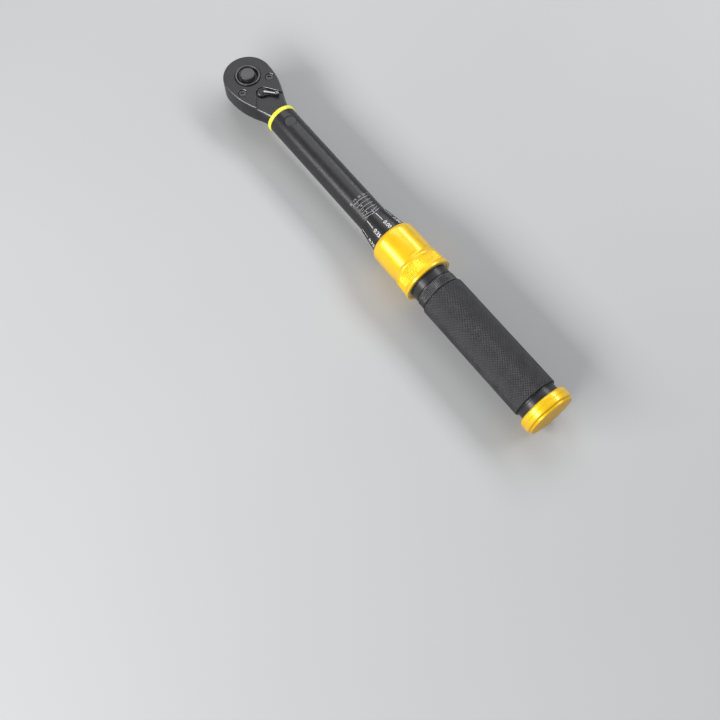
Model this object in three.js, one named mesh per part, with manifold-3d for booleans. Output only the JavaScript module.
// Click-type micrometer torque wrench with a 1/4 in (6.35 mm) square drive.
//
// Frame (millimetres): the origin is the centre of the end face of the square drive,
// +Z runs up the drive axis through the head, and +X runs along the tube to the handle.
// Pieces are drawn in a group whose z = 0 is the tube axis, at the height AXIS_Z.
// "Front" is towards -X, "rear" towards +X, and "left" is +Y.

import * as THREE from 'three';
import { mergeVertices } from 'three/addons/utils/BufferGeometryUtils.js';
import Module from 'manifold-3d';

const wasm = await Module();
wasm.setup();

// ---------------------------------------------------------------- driving dimensions
const SQUARE = 6.35;            // across flats of the square drive
const SQUARE_LENGTH = 7.7;      // square below the drive's boss
const HEAD_HALF = 5.2;          // half the head's thickness
const BOSS = 0.3;               // drive boss standing below the head
const AXIS_Z = SQUARE_LENGTH + BOSS + HEAD_HALF;

const HEAD_R = 12.3;            // front radius of the head about the drive axis
const HEAD_X1 = 26.6;           // rear end of the head, ahead of its tail
const PLATE_Z = 3.2;            // parting height between head and cover
const RECESS_Z = 4.4;           // floor of the lever's fan recess
const HUB_R = 6.25;             // raised hub ring of the drive
const HUB_Z = 5.95;
const HUB_HOLE_R = HUB_R + 0.12;
const TEETH = 36;               // ratchet teeth
const GEAR_TIP = 7.1;
const GEAR_ROOT = 6.45;
const GEAR_HALF = 2.4;          // half the gear's thickness
const POCKET_FLOOR = -GEAR_HALF - 0.15;

const LEVER_X = 12.6;           // lever shaft
const LEVER_ANGLE = 42;         // degrees from the tube axis at rest
const LEVER_LENGTH = 8.4;
const LEVER_HOLE_R = 1.95;
const LEVER_WELL_R = 3.25;      // well under the cover that the pawl's plunger swings in
const PAWL_PIN_X = 8.3;
const COVER_SCREW = { x: 7.0, y: 8.1, seatZ: 3.9 };   // one at either side

const PIVOT_X = 36;             // head pivot pin
const PIVOT_R = 3.0;
const TUBE_R = 7.2;
const TUBE_BORE = 5.8;          // radius
const TUBE_X0 = 27.3;
const TUBE_X1 = 160;

const TAIL_X1 = 43.5;           // rear end of the head's tail
const PLUNGER_X0 = 47.5;        // front of the plunger
const BLOCK_POCKET = 1;         // depth of the click block's pockets in tail and plunger
const BLOCK_PLAY = 0.05;        // between either end of the block and its pocket floor

const SLEEVE_X1 = 126;          // rear end of the scale sleeve
const SLEEVE_R = 9.5;
const HANDLE_BORE = 7.35;       // radius of sleeve and grip where they slide on the tube
const SPIGOT_R = 8.35;          // grip and guide bush inside the sleeve
const LOCK_BALL_X = 136.5;
const LOCK_BALL_R = 1.2;
const ADJUSTER_R = 4.0;         // adjusting screw

const CUT_END = 9;              // cutters along Z run out to this height, beyond the head
const SIDES = [-1, 1];

// ---------------------------------------------------------------- materials
const finish = (settings) => new THREE.MeshStandardMaterial(settings);
const blackOxide = finish({ color: 0x1b1b1d, roughness: 0.45, metalness: 0.6 });
const satinBlack = finish({ color: 0x1c1c1f, roughness: 0.35, metalness: 0.7 });
const knurlBlack = finish({ color: 0x202022, roughness: 0.5, metalness: 0.6 });
const buttonSteel = finish({ color: 0x4a4a4e, roughness: 0.35, metalness: 0.8 });
const gold = finish({ color: 0xe2ab10, roughness: 0.28, metalness: 0.85 });
const lemon = finish({ color: 0xe6e13a, roughness: 0.4, metalness: 0.1 });
const steel = finish({ color: 0xb9bbbf, roughness: 0.3, metalness: 0.9 });
const springSteel = finish({ color: 0x8d9096, roughness: 0.35, metalness: 0.9 });
const bronze = finish({ color: 0xa8813f, roughness: 0.4, metalness: 0.8 });
const nylon = finish({ color: 0x2a2a2c, roughness: 0.6, metalness: 0.0 });

// ---------------------------------------------------------------- solids and booleans
// Manifold of a closed geometry, welded and with its faces turned outward.
function solid(geometry) {
  const source = geometry.clone();
  source.deleteAttribute('normal');
  source.deleteAttribute('uv');
  const welded = mergeVertices(source, 1e-4);
  const positions = welded.attributes.position.array;
  const index = welded.index.array;
  const vertex = (i) => new THREE.Vector3().fromArray(positions, 3 * i);
  const triangles = [];
  let volume = 0;
  for (let i = 0; i < index.length; i += 3) {
    const [a, b, c] = index.slice(i, i + 3);
    if (a === b || b === c || a === c) continue;
    triangles.push(a, b, c);
    volume += vertex(a).dot(vertex(b).cross(vertex(c)));
  }
  if (volume < 0) {
    for (let i = 0; i < triangles.length; i += 3) {
      [triangles[i], triangles[i + 1]] = [triangles[i + 1], triangles[i]];
    }
  }
  return new wasm.Manifold(new wasm.Mesh({
    numProp: 3,
    vertProperties: Float32Array.from(positions),
    triVerts: Uint32Array.from(triangles),
  }));
}

function geometryOf(body) {
  const mesh = body.getMesh();
  const geometry = new THREE.BufferGeometry();
  const positions = Float32Array.from(mesh.vertProperties);
  geometry.setAttribute('position', new THREE.BufferAttribute(positions, 3));
  geometry.setIndex(new THREE.BufferAttribute(Uint32Array.from(mesh.triVerts), 1));
  return geometry;
}

const cut = (body, ...tools) => tools.reduce((rest, tool) => rest.subtract(solid(tool)), body);
const join = (first, ...others) => others.reduce((sum, part) => sum.add(solid(part)), solid(first));

const root = new THREE.Group();
const wrench = new THREE.Group();
wrench.position.set(0, 0, AXIS_Z);
root.add(wrench);

// Adds a mesh made from a manifold or a closed geometry.
function add(name, body, material) {
  const mesh = new THREE.Mesh(geometryOf(body.isBufferGeometry ? solid(body) : body), material);
  mesh.name = name;
  wrench.add(mesh);
}

// ---------------------------------------------------------------- outlines
const rad = THREE.MathUtils.degToRad;
const polar = (radius, degrees) => [radius * Math.cos(rad(degrees)), radius * Math.sin(rad(degrees))];
const arc = (radius, from, to, steps) =>
  Array.from({ length: steps + 1 }, (_, i) => polar(radius, from + (i * (to - from)) / steps));

// Outline symmetric about X. halfWidths: [x, half width]; a half width of 0 is a single point.
const mirrored = (halfWidths) => [
  ...halfWidths.map(([x, y]) => [x, -y]),
  ...halfWidths.filter(([, y]) => y !== 0).reverse(),
];
const shapeOf = (points) => new THREE.Shape(points.map(([x, y]) => new THREE.Vector2(x, y)));

// ---------------------------------------------------------------- basic bodies
// Revolved body. profile: [position along the axis, radius]; one that doesn't start and end
// on the axis is a closed ring.
function turned(profile, segments, phase = 0) {
  const points = profile.map(([along, radius]) => new THREE.Vector2(radius, along));
  const endsOnAxis = profile[0][1] === 0 && profile[profile.length - 1][1] === 0;
  if (!endsOnAxis) points.push(points[0].clone());
  return new THREE.LatheGeometry(points, segments, phase, Math.PI * 2);
}
// Facets of the bodies about X are laid so that one faces straight down.
const aboutX = (profile, segments = 28) =>
  turned(profile, segments, Math.PI / segments).rotateZ(-Math.PI / 2);
const aboutZ = (profile, segments = 24) => turned(profile, segments).rotateX(Math.PI / 2);
const rodZ = (radius, z0, z1, segments) =>
  aboutZ([[z0, 0], [z0, radius], [z1, radius], [z1, 0]], segments);
// Prism along X, centred on the origin.
const prismX = (radius, length, sides) =>
  new THREE.CylinderGeometry(radius, radius, length, sides).rotateZ(Math.PI / 2);
const ball = (radius) => new THREE.SphereGeometry(radius, 12, 7);

const plate = (points, z0, z1) =>
  new THREE.ExtrudeGeometry(shapeOf(points), { depth: z1 - z0, bevelEnabled: false })
    .translate(0, 0, z0);
// Plate whose upper and lower edges are chamfered inward by inset over a height of rise.
const chamferedPlate = (points, { z0, z1, rise, inset }) =>
  new THREE.ExtrudeGeometry(shapeOf(points), {
    depth: z1 - z0 - 2 * rise,
    bevelEnabled: true,
    bevelThickness: rise,
    bevelSize: inset,
    bevelOffset: -inset,
    bevelSegments: 1,
  }).translate(0, 0, z0 + rise);
const box = (x0, x1, halfWidth, z0, z1) =>
  new THREE.BoxGeometry(x1 - x0, 2 * halfWidth, z1 - z0).translate((x0 + x1) / 2, 0, (z0 + z1) / 2);

// Helix with closed end turns, about X from x0 to x1.
class CoilPath extends THREE.Curve {
  constructor({ x0, x1, radius, turns, wire }) {
    super();
    Object.assign(this, { x0, x1, radius, turns, wire });
  }
  getPoint(t, target = new THREE.Vector3()) {
    const turn = t * this.turns;
    const openTurns = this.turns - 2;
    const closedRise = this.wire * 1.04;
    const openRise = (this.x1 - this.x0 - this.wire - 2 * closedRise) / openTurns;
    let x;
    if (turn < 1) x = closedRise * turn;
    else if (turn > this.turns - 1) {
      x = closedRise + openRise * openTurns + closedRise * (turn - this.turns + 1);
    } else x = closedRise + openRise * (turn - 1);
    const angle = turn * 2 * Math.PI;
    return target.set(
      this.x0 + this.wire / 2 + x,
      this.radius * Math.cos(angle),
      this.radius * Math.sin(angle),
    );
  }
}

// Spring: radius is the coil's mean radius, wire the wire's diameter, perTurn the steps in a
// turn and sides those of the wire's section.
function coil({ perTurn, sides, ...path }) {
  const section = Array.from({ length: sides }, (_, i) => polar(path.wire / 2, (i / sides) * 360));
  return new THREE.ExtrudeGeometry(shapeOf(section), {
    steps: Math.round(path.turns * perTurn),
    extrudePath: new CoilPath(path),
    bevelEnabled: false,
  });
}

// ---------------------------------------------------------------- head: forging and cover
// Flank of the head seen from above: [x, half width]
const HEAD_FLANK = [[4, 12.15], [8, 11.75], [12, 11.0], [16.5, 9.55], [21, 7.8], [HEAD_X1, 6.2]];
// Turned envelope that rounds the flanks into the neck: [x, radius]
const HEAD_ENVELOPE = [
  [-30, 0], [-30, 24], [0, 18], [6, 12.9], [12, 11.6], [16.5, 10.1], [21, 8.1],
  [HEAD_X1, 6.15], [HEAD_X1, 0],
];
// Pocket in the head that the pawl rocks in: [x, half width]
const PAWL_POCKET = [[3, 6.7], [8.9, 6.7], [10.4, 4.2], [11.3, 1.9]];

// Head and cover in one, before they are parted at PLATE_Z.
function headBlank() {
  const outline = [...arc(HEAD_R, 90, 270, 18), ...mirrored(HEAD_FLANK)];
  return solid(chamferedPlate(outline, { z0: -HEAD_HALF, z1: HEAD_HALF, rise: 0.5, inset: 0.5 }))
    .intersect(solid(aboutX(HEAD_ENVELOPE, 36)));
}

// Cutter for the click block's pockets.
const blockPocket = (x0, x1) => box(x0, x1, 2.45, -2.9, 2.9);

// Flat-sided tail in the tube, clear of the cover and with the block's pocket at its end.
function headTail() {
  const radius = 5.1;
  const bar = aboutX([
    [24, 0], [24, radius], [TAIL_X1 - 0.5, radius], [TAIL_X1, radius - 0.5], [TAIL_X1, 0],
  ]);
  return cut(
    solid(bar).intersect(solid(box(20, 45, 8, -4.3, 4.3))),
    blockPocket(TAIL_X1 - BLOCK_POCKET, 50),
    box(20, HEAD_X1 + 0.04, 8, PLATE_Z, 8),
  );
}

function headBody(blank) {
  const lowerPart = blank.intersect(solid(box(-40, 40, 40, -20, PLATE_Z)));
  const leverWell = aboutZ([
    [-4.4, 0], [-4.4, LEVER_HOLE_R], [POCKET_FLOOR, LEVER_HOLE_R], [POCKET_FLOOR, LEVER_WELL_R],
    [CUT_END, LEVER_WELL_R], [CUT_END, 0],
  ]);
  const screwHoles = SIDES.map((side) =>
    rodZ(0.85, -2.6, CUT_END, 16).translate(COVER_SCREW.x, side * COVER_SCREW.y, 0));
  return cut(
    lowerPart.add(headTail()),
    rodZ(GEAR_TIP + 0.2, POCKET_FLOOR, CUT_END, 36),
    rodZ(HUB_HOLE_R, -CUT_END, 0, 36),
    plate(mirrored(PAWL_POCKET), POCKET_FLOOR, CUT_END),
    leverWell.translate(LEVER_X, 0, 0),
    rodZ(0.6, -4.2, 0, 12).translate(PAWL_PIN_X, 0, 0),
    rodZ(PIVOT_R + 0.08, -CUT_END, CUT_END).translate(PIVOT_X, 0, 0),
    ...screwHoles,
  );
}

// Recess that the lever swings in: an arc in front of the shaft and two edges opening rearward.
function fanOutline() {
  const edgeAngle = 35;
  const radius = 3.2;
  const [edgeX, edgeY] = polar(20, edgeAngle);
  const [startX, startY] = polar(radius, 90 + edgeAngle);
  return [
    ...arc(radius, 90 + edgeAngle, 270 - edgeAngle, 8),
    ...SIDES.map((side) => [startX + edgeX, side * (startY + edgeY)]),
  ].map(([x, y]) => [LEVER_X + x, y]);
}

function coverPlate(blank) {
  const { x, y, seatZ } = COVER_SCREW;
  const screwHoles = SIDES.map((side) =>
    aboutZ([[0, 0], [0, 1.1], [seatZ, 1.1], [seatZ, 2.15], [CUT_END, 2.15], [CUT_END, 0]], 20)
      .translate(x, side * y, 0));
  return cut(
    blank.intersect(solid(box(-40, 40, 40, PLATE_Z + 0.02, 20))),
    plate(fanOutline(), RECESS_Z, CUT_END),
    rodZ(HUB_HOLE_R, 0, CUT_END, 36),
    rodZ(LEVER_HOLE_R, 0, CUT_END).translate(LEVER_X, 0, 0),
    ...screwHoles,
  );
}

// Countersunk-in cap screw with a hexagon socket.
function coverScrew(side) {
  const underHead = COVER_SCREW.seatZ + 0.02;
  const screw = aboutZ([
    [-2.3, 0], [-2.3, 0.6], [-2.1, 0.8], [underHead, 0.8], [underHead, 1.85],
    [4.7, 1.85], [4.9, 1.6], [4.9, 0],
  ], 16);
  const socket = new THREE.CylinderGeometry(0.85, 0.85, 2, 6)
    .rotateX(Math.PI / 2)
    .translate(0, 0, 5.1);
  return geometryOf(cut(solid(screw), socket))
    .translate(COVER_SCREW.x, side * COVER_SCREW.y, 0);
}

const blank = headBlank();
add('head_body', headBody(blank), blackOxide);
add('cover_plate', coverPlate(blank), blackOxide);
add('cover_screw_left', coverScrew(1), blackOxide);
add('cover_screw_right', coverScrew(-1), blackOxide);

// ---------------------------------------------------------------- drive and release button
const aboveEnd = (height) => height - AXIS_Z;   // z of a height above the drive's end face
const BALL_R = 1.2;                             // socket detent ball
const BALL_Z = aboveEnd(3.7);
const BALL_PROUD = 0.5;                         // ball standing out of the square

// Tooth outline, with tips and roots moved out by growth.
function gearPoints(growth = 0) {
  const pitch = 360 / TEETH;
  const points = [];
  for (let i = 0; i < TEETH; i++) {
    points.push(polar(GEAR_TIP + growth, i * pitch));
    points.push(polar(GEAR_ROOT + growth, (i + 0.5) * pitch));
  }
  return points;
}

// Ratchet gear, hub and square in one piece, bored for the button, its stem and the ball.
function driveGear() {
  const half = SQUARE / 2;
  const stemBore = 1.3;
  const bossZ = -HEAD_HALF - BOSS;
  const hub = aboutZ([
    [bossZ, 0], [bossZ, 5.9], [-HEAD_HALF, HUB_R], [0, HUB_R], [HUB_Z - 0.3, HUB_R],
    [HUB_Z, HUB_R - 0.35], [HUB_Z, 0],
  ], 36);
  const square = chamferedPlate(mirrored([[-half, half], [half, half]]), {
    z0: aboveEnd(0), z1: aboveEnd(SQUARE_LENGTH), rise: 0.5, inset: 0.45,
  });
  const squareRoot = box(-half, half, half, aboveEnd(1), -HEAD_HALF);
  const buttonBore = aboutZ([
    [aboveEnd(1.2), 0], [aboveEnd(1.2), stemBore], [-3.4, stemBore], [-3.4, 4.5], [5.1, 4.5],
    [5.1, 4.75], [HUB_Z - 0.1, 5.2], [CUT_END, 5.2], [CUT_END, 0],
  ]);
  return cut(
    join(plate(gearPoints(), -GEAR_HALF, GEAR_HALF), hub, square, squareRoot),
    buttonBore,
    prismX(BALL_R + 0.1, 5, 20).translate(-2.5, 0, BALL_Z),
  );
}

// The stem's waist lets the ball in when the button is down.
function releaseButton() {
  const stem = [
    [3.0, 0], [3.0, 1.0], [3.2, 1.2], [3.75, 1.2], [4.6, 0.7], [6.0, 0.7], [6.8, 1.2],
  ].map(([height, radius]) => [aboveEnd(height), radius]);
  return aboutZ([
    ...stem, [2.85, 1.2], [2.85, 4.3], [3.85, 4.3], [3.85, 3.65], [6.7, 3.65], [6.95, 3.4],
    [7.03, 2.6], [7.05, 0],
  ]);
}

const releaseSpring = coil({
  x0: -3.35, x1: 2.8, radius: 2.6, turns: 5, wire: 0.5, perTurn: 9, sides: 4,
}).rotateY(-Math.PI / 2);

add('drive_gear', driveGear(), steel);
// Washer in the hub that keeps the button in
add('button_retainer', aboutZ([[3.9, 3.8], [3.9, 4.46], [4.6, 4.46], [4.6, 3.8]]), blackOxide);
add('release_button', releaseButton(), buttonSteel);
add('release_spring', releaseSpring, springSteel);
add('detent_ball', ball(BALL_R).translate(-(SQUARE / 2 + BALL_PROUD - BALL_R), 0, BALL_Z), steel);

// ---------------------------------------------------------------- pawl and reversing lever
const PAWL_ROCK = 6;              // degrees either side of neutral
const PAWL_HALF = GEAR_HALF - 0.1;
const PAWL_TOOTH_GAP = 0.1625;    // growth of the gear that cuts the pawl's teeth

const rockPawl = (geometry, degrees) =>
  geometry.translate(-PAWL_PIN_X, 0, 0).rotateZ(rad(degrees)).translate(PAWL_PIN_X, 0, 0);

// Crescent pawl: its two toothed ends are cut by the ratchet at either rocked position.
function pawl() {
  const crescent = [...arc(7.3, -42, 42, 14), ...arc(9.9, 34, -34, 10)];
  const gearCuts = SIDES.map((side) =>
    rockPawl(plate(gearPoints(PAWL_TOOTH_GAP), -5, 5), side * PAWL_ROCK));
  const body = cut(
    solid(plate(crescent, -PAWL_HALF, PAWL_HALF)),
    ...gearCuts,
    rodZ(LEVER_WELL_R, -5, 5).translate(LEVER_X, 0, 0),
    rodZ(0.66, -5, 5, 12).translate(PAWL_PIN_X, 0, 0),
  );
  return rockPawl(geometryOf(body), -PAWL_ROCK);
}

const placeLever = (geometry) => geometry.rotateZ(rad(LEVER_ANGLE)).translate(LEVER_X, 0, 0);

// Round hub on its shaft, tapered arm with a raised rib, and a higher thumb tab at the tip.
function reversingLever() {
  const tip = LEVER_LENGTH;
  const arm = mirrored([[3.0, 1.3], [tip - 1.0, 1.0], [tip - 0.25, 0.7], [tip, 0]]);
  const rib = mirrored([[1.2, 0.85], [tip - 0.9, 0.7], [tip - 0.5, 0]]);
  const tab = mirrored([[tip - 2.0, 0.95], [tip - 0.9, 0.85], [tip - 0.2, 0]]);
  const shaft = aboutZ([[-4.2, 0], [-4.2, 1.6], [-4.0, 1.8], [5, 1.8], [5, 0]], 20);
  const lever = join(
    plate([...arc(2.6, 50, 310, 13), ...arm], RECESS_Z + 0.15, 5.6),
    plate(rib, 5, 6.1),
    plate(tab, 5, 6.6),
    shaft,
  );
  const plungerHole = prismX(0.85, 2.9, 14).translate(-0.65, 0, 0);
  return placeLever(geometryOf(cut(lever, plungerHole)));
}

const pawlPlunger = aboutX([[-3.05, 0], [-2.95, 0.4], [-2.65, 0.7], [-0.9, 0.7], [-0.9, 0]], 14);
const pawlSpring = coil({
  x0: -0.85, x1: 0.75, radius: 0.5, turns: 4, wire: 0.28, perTurn: 7, sides: 4,
});

add('pawl', pawl(), steel);
add('pawl_pin', rodZ(0.55, -4.15, 2.9, 12).translate(PAWL_PIN_X, 0, 0), steel);
add('reversing_lever', reversingLever(), blackOxide);
add('pawl_plunger', placeLever(pawlPlunger), steel);
add('pawl_spring', placeLever(pawlSpring), springSteel);

// ---------------------------------------------------------------- tube, pivot pin and neck ring
// The lock balls drop into the tube's flutes.
function tube() {
  const fluteCount = 8;
  const barrel = aboutX([
    [TUBE_X0, TUBE_BORE], [TUBE_X0, TUBE_R], [TUBE_X1 - 0.5, TUBE_R], [TUBE_X1, TUBE_R - 0.5],
    [TUBE_X1, TUBE_BORE],
  ]);
  const flutes = Array.from({ length: fluteCount }, (_, i) =>
    prismX(1.25, 28, 8).translate(143, TUBE_R + 0.75, 0).rotateX(rad((360 / fluteCount) * i)));
  const pinHole = rodZ(PIVOT_R + 0.03, -CUT_END, CUT_END).translate(PIVOT_X, 0, 0);
  return cut(solid(barrel), pinHole, ...flutes);
}

function pivotPin() {
  const half = 6.95;
  const chamfer = 0.2;
  return aboutZ([
    [-half, 0], [-half, PIVOT_R - chamfer], [chamfer - half, PIVOT_R],
    [half - chamfer, PIVOT_R], [half, PIVOT_R - chamfer], [half, 0],
  ]).translate(PIVOT_X, 0, 0);
}

// Ring around the front end of the tube, with a lip in front of it.
function neckRing() {
  const [x0, x1, radius] = [26.8, 29.0, 7.8];
  const [lipX, bore] = [TUBE_X0 - 0.04, TUBE_R + 0.05];
  return aboutX([
    [x0, 6.95], [x0, 7.45], [x0 + 0.35, radius], [x1 - 0.25, radius], [x1, 7.5],
    [x1, bore], [lipX, bore], [lipX, 6.95],
  ]);
}

function tubeNut() {
  const bore = ADJUSTER_R + 0.12;
  const plugR = TUBE_BORE - 0.1;
  const [flangeX0, flangeX1] = [TUBE_X1 + 0.1, TUBE_X1 + 2.2];
  return aboutX([
    [148, bore], [148, 5.5], [148.4, plugR], [flangeX0, plugR], [flangeX0, 7.05],
    [flangeX1, 7.05], [flangeX1, bore],
  ]);
}

add('tube', tube(), satinBlack);
add('pivot_pin', pivotPin(), satinBlack);
add('neck_ring', neckRing(), lemon);
add('tube_nut', tubeNut(), bronze);

// ---------------------------------------------------------------- click train
// The block stands square between the two flats; tipping it onto its corners drives the
// plunger back.
function clickBlock() {
  const x0 = TAIL_X1 - BLOCK_POCKET + BLOCK_PLAY;
  const x1 = PLUNGER_X0 + BLOCK_POCKET - BLOCK_PLAY;
  const half = 2.0;
  const chamfer = 0.2;
  return plate(mirrored([
    [x0, half - chamfer], [x0 + chamfer, half], [x1 - chamfer, half], [x1, half - chamfer],
  ]), -2.6, 2.6);
}

function plunger() {
  const body = aboutX([
    [PLUNGER_X0, 0], [PLUNGER_X0, 5.4], [PLUNGER_X0 + 0.3, 5.6], [60, 5.6], [60, 2.6],
    [65.6, 2.6], [66, 2.2], [66, 0],
  ]);
  return cut(solid(body), blockPocket(40, PLUNGER_X0 + BLOCK_POCKET));
}

const mainSpring = coil({
  x0: 60.2, x1: 109.8, radius: 4.3, turns: 11, wire: 1.5, perTurn: 10, sides: 5,
});

add('click_block', clickBlock(), steel);
add('plunger', plunger(), steel);
add('main_spring', mainSpring, springSteel);
add('spring_seat', aboutX([
  [104, 0], [104, 2.2], [104.4, 2.6], [110, 2.6], [110, 5.6], [117.6, 5.6], [118, 5.2],
  [118, 2.15], [116.1, 2.15], [116.1, 0],
]), steel);
add('thrust_ball', ball(2.0).translate(118.2, 0, 0), steel);

// ---------------------------------------------------------------- handle
const CAP_X0 = 217.8;             // front of the end cap

// Spigot in the sleeve, stub under the lock collar, raised band, grip and rear neck.
function handleGrip() {
  const stubR = 9.85;
  const band = { x0: 146.1, x1: 150.3, radius: 10.15 };
  const gripR = 11.0;
  const gripX1 = 214.2;
  const neckR = 10.0;
  const spigotX1 = SLEEVE_X1 + 0.05;
  const neckX1 = CAP_X0 - 0.05;
  const body = aboutX([
    [117.8, HANDLE_BORE], [117.8, SPIGOT_R], [spigotX1, SPIGOT_R], [spigotX1, SLEEVE_R],
    [130.8, SLEEVE_R], [130.8, stubR], [145.6, stubR], [145.6, stubR - 0.25],
    [band.x0, stubR - 0.25], [band.x0, band.radius], [band.x1, band.radius],
    [band.x1 + 0.6, gripR], [gripX1 - 0.4, gripR], [gripX1, gripR - 0.5], [gripX1, neckR],
    [neckX1, neckR], [neckX1, 9.0], [220.4, 9.0], [220.4, 7.6], [212, 7.6], [212, 3.12],
    [206, 3.12], [206, 8.2], [164, 8.2], [164, HANDLE_BORE],
  ]);
  const holeR = LOCK_BALL_R + 0.1;
  const ballHoles = SIDES.map((side) =>
    new THREE.CylinderGeometry(holeR, holeR, 8, 16).translate(LOCK_BALL_X, side * 9.5, 0));
  return cut(solid(body), ...ballHoles);
}

const screwNut = () => cut(
  solid(prismX(5.77, 3.4, 6).translate(213.85, 0, 0)),
  aboutX([[200, 0], [200, 3.1], [230, 3.1], [230, 0]]),
);

// Flared sleeve that carries the scale
add('scale_sleeve', aboutX([
  [101.5, HANDLE_BORE], [101.5, 7.62], [101.75, 7.72], [113.3, SLEEVE_R],
  [SLEEVE_X1, SLEEVE_R], [SLEEVE_X1, 8.42], [109.4, 8.42], [109.4, HANDLE_BORE],
]), satinBlack);
add('guide_bush', aboutX([
  [109.5, 7.3], [109.5, SPIGOT_R], [117.6, SPIGOT_R], [117.6, 7.3],
]), nylon);
add('handle_grip', handleGrip(), knurlBlack);
add('adjusting_screw', aboutX([
  [120.4, 0], [120.4, 2.15], [118.6, 2.15], [118.6, 3.2], [119.4, ADJUSTER_R],
  [203, ADJUSTER_R], [203, 6.4], [205.9, 6.4], [205.9, 3.0], [216.6, 3.0], [217, 2.6], [217, 0],
]), steel);
add('screw_nut', screwNut(), steel);
add('stop_washer', aboutX([[130.0, 9.56], [130.0, 10.5], [130.7, 10.5], [130.7, 9.56]]), steel);

// ---------------------------------------------------------------- lock collar
function lockCollar() {
  const [x0, x1] = [113.8, 141.4];
  const radius = 11.45;
  const rimR = 12.45;
  const frontBore = SLEEVE_R + 0.12;
  const rearBore = 10.64;
  return aboutX([
    [x0, frontBore], [x0, 10.1], [x0 + 0.8, 10.9], [x0 + 2.0, 11.3], [x0 + 4, radius],
    [129.9, radius], [130.4, radius - 0.25], [131.2, radius - 0.25], [132.6, radius + 0.25],
    [139.4, rimR - 0.35], [140.0, rimR], [141.0, rimR], [x1, rimR - 0.4],
    [x1, rearBore], [116.4, rearBore], [116.4, frontBore],
  ]);
}

const collarSpring = coil({
  x0: 116.5, x1: 129.9, radius: 10.1, turns: 5, wire: 0.8, perTurn: 16, sides: 4,
});

add('lock_collar', lockCollar(), gold);
add('cam_ring', aboutX([
  [130.75, 10.3], [130.75, 10.58], [141.2, 10.58], [141.2, 9.98], [135.4, 9.98], [132.4, 10.3],
]), steel);
add('collar_spring', collarSpring, springSteel);
for (const [name, side] of [['lock_ball_left', 1], ['lock_ball_right', -1]]) {
  add(name, ball(LOCK_BALL_R).translate(LOCK_BALL_X, side * 8.5, 0), steel);
}

// ---------------------------------------------------------------- end cap and its plug
const CAP_X1 = 223.1;

function endCap() {
  const radius = 12.35;
  return aboutX([
    [CAP_X0, 9.06], [CAP_X0, 11.6], [CAP_X0 + 0.25, 12.1], [CAP_X0 + 0.8, radius],
    [CAP_X1 - 0.7, radius], [CAP_X1 - 0.15, radius - 0.25], [CAP_X1, radius - 0.6],
    [CAP_X1, 9.8], [CAP_X1 - 2.2, 9.8], [CAP_X1 - 2.2, 9.06],
  ]);
}

function capPlug() {
  const flangeX0 = CAP_X1 + 0.1;
  const x1 = 224.5;
  return aboutX([
    [221.0, 0], [221.0, 9.7], [flangeX0, 9.7], [flangeX0, 11.5], [x1 - 0.35, 11.45],
    [x1, 11.0], [x1, 0],
  ]);
}

add('end_cap', endCap(), gold);
add('cap_plug', capPlug(), gold);

export default root;
